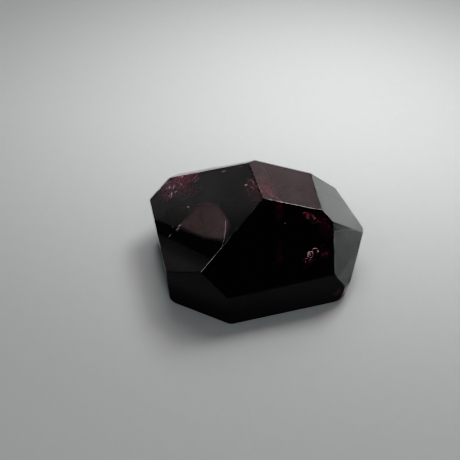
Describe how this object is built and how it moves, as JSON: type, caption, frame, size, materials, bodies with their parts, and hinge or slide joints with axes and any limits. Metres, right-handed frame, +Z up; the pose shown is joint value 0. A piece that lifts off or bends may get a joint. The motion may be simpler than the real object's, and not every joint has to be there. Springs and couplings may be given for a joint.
{
  "type": "garnet crystal",
  "caption": "Polished garnet crystal, a deep red-black stone with flat facets, crisp edges and a flat base that it stands on.",
  "frame": {"origin": "middle of the stone's bounding box, on the surface that the base rests on", "axes": "+X along the stone's length towards its blunt end, -Y towards its low front walls, +Z up out of the base"},
  "size_m": [0.0654, 0.0436, 0.0332],
  "materials": {
    "garnet": "polished"
  },
  "bodies": {
    "root": {"garnet_crystal": "garnet"}
  },
  "joints": []
}
